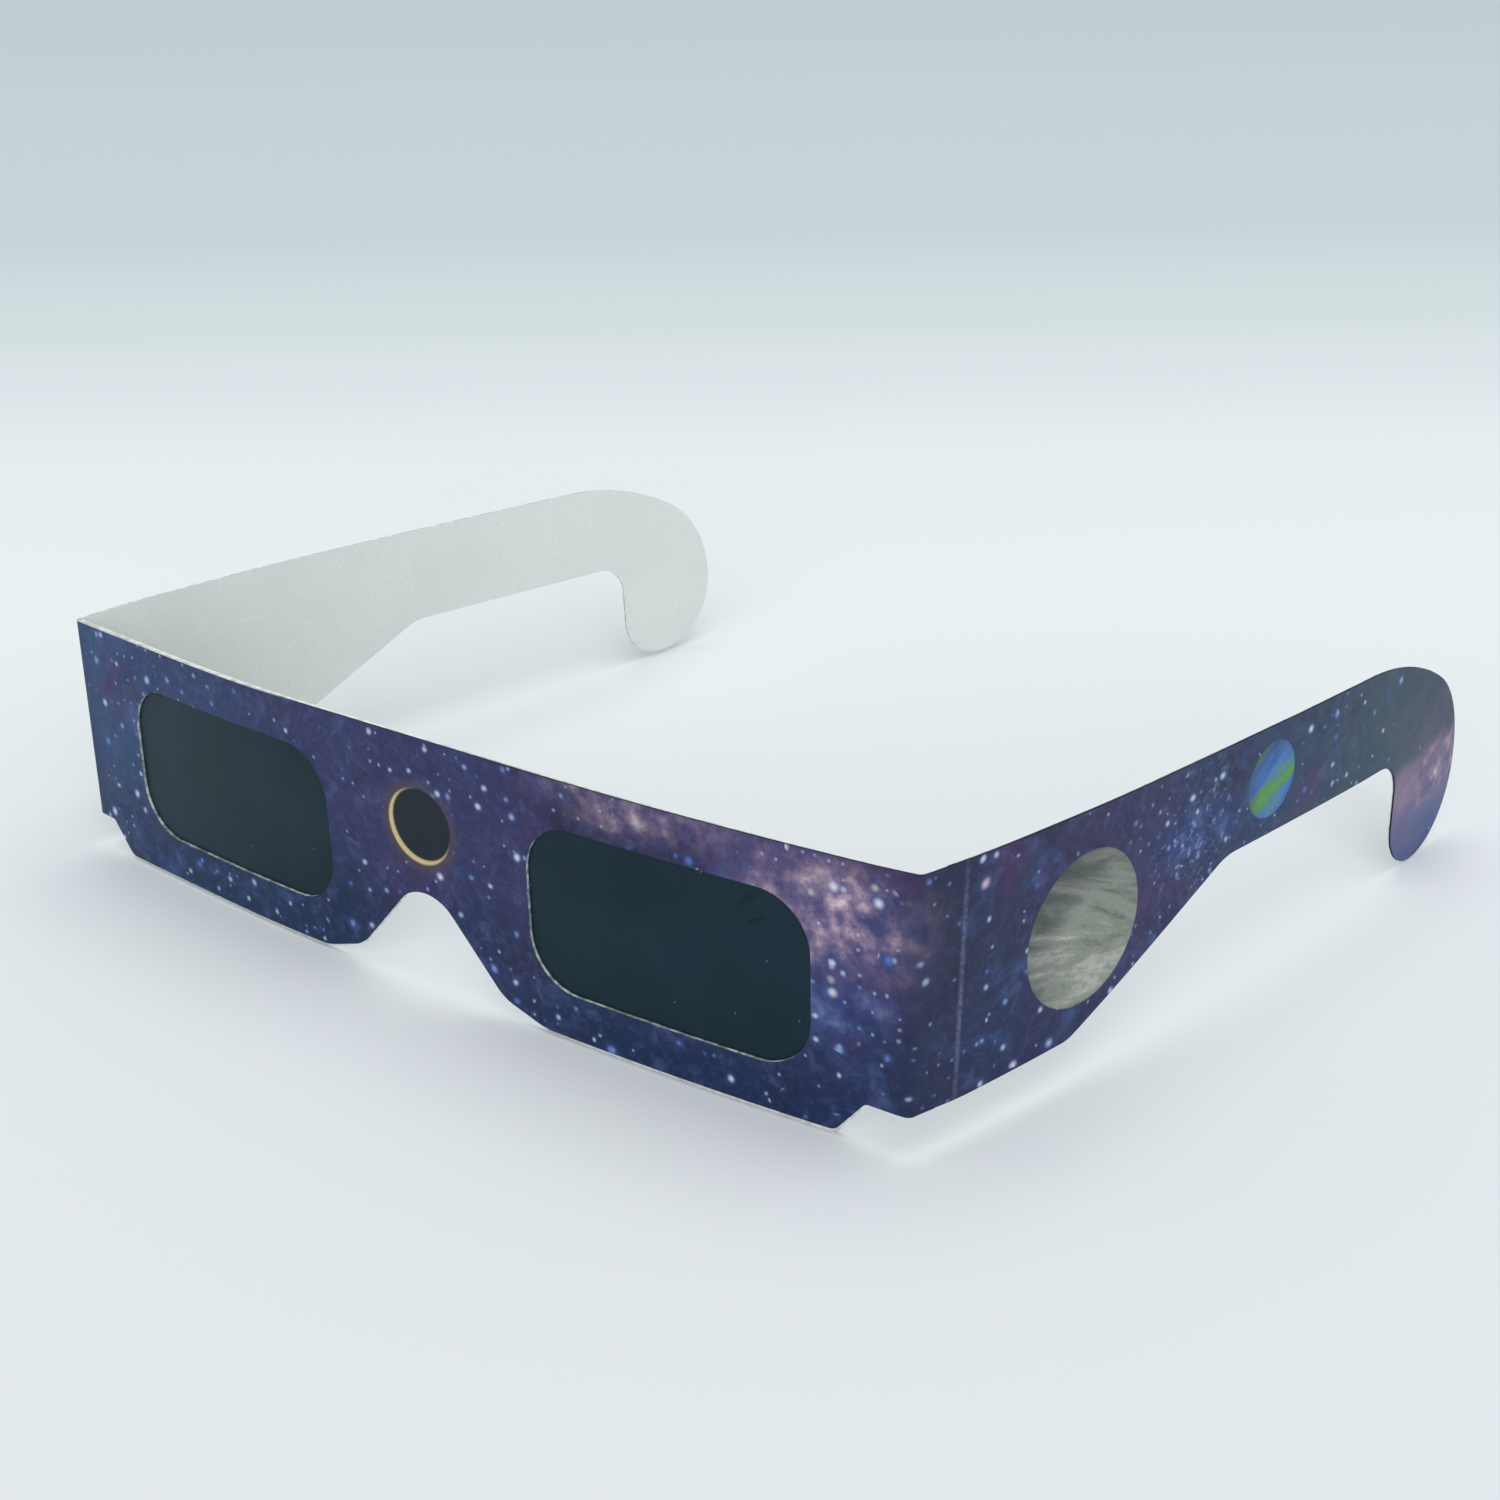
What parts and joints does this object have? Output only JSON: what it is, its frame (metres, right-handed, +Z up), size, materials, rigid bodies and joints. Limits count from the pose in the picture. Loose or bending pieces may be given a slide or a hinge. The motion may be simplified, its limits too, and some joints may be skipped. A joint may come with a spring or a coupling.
{
  "type": "eclipse glasses",
  "caption": "Folding card eclipse glasses with dark film windows, a nose cut and hooked card temples.",
  "frame": {"origin": "middle of the footprint, on the table that the glasses stand on", "axes": "+Z up, the printed front faces -Y, +X towards the wearer's left"},
  "size_m": [0.1689, 0.1292, 0.0375],
  "materials": {
    "printed_card": "satin card, printed outside with a starry deep-sky picture, bare white inside",
    "white_card": "plain white card, matt",
    "dark_film": "dark solar film, satin",
    "glue": "dried white glue"
  },
  "bodies": {
    "panel": {"front_card": "printed_card", "glue_layer": "glue", "left_filter": "dark_film", "right_filter": "dark_film", "back_card": "white_card"},
    "left_strip": {"left_strip": "printed_card"},
    "left_temple": {"left_temple": "printed_card"},
    "right_strip": {"right_strip": "printed_card"},
    "right_temple": {"right_temple": "printed_card"}
  },
  "joints": [
    {"name": "left_fold", "type": "hinge", "parent": "panel", "child": "left_strip", "pos_m": [0.06343, -0.06148, 0.02145], "axis": [0, 0, 1], "range_deg": [-68, 17]},
    {"name": "left_crease", "type": "hinge", "parent": "left_strip", "child": "left_temple", "pos_m": [0.06512, -0.05551, 0.02145], "axis": [0, 0, 1], "range_deg": [0, 81]},
    {"name": "right_fold", "type": "hinge", "parent": "panel", "child": "right_strip", "pos_m": [-0.08425, -0.05996, 0.02145], "axis": [0, 0, -1], "range_deg": [-87, 1]},
    {"name": "right_crease", "type": "hinge", "parent": "right_strip", "child": "right_temple", "pos_m": [-0.08348, -0.05019, 0.02145], "axis": [0, 0, -1], "range_deg": [0, 71]}
  ]
}
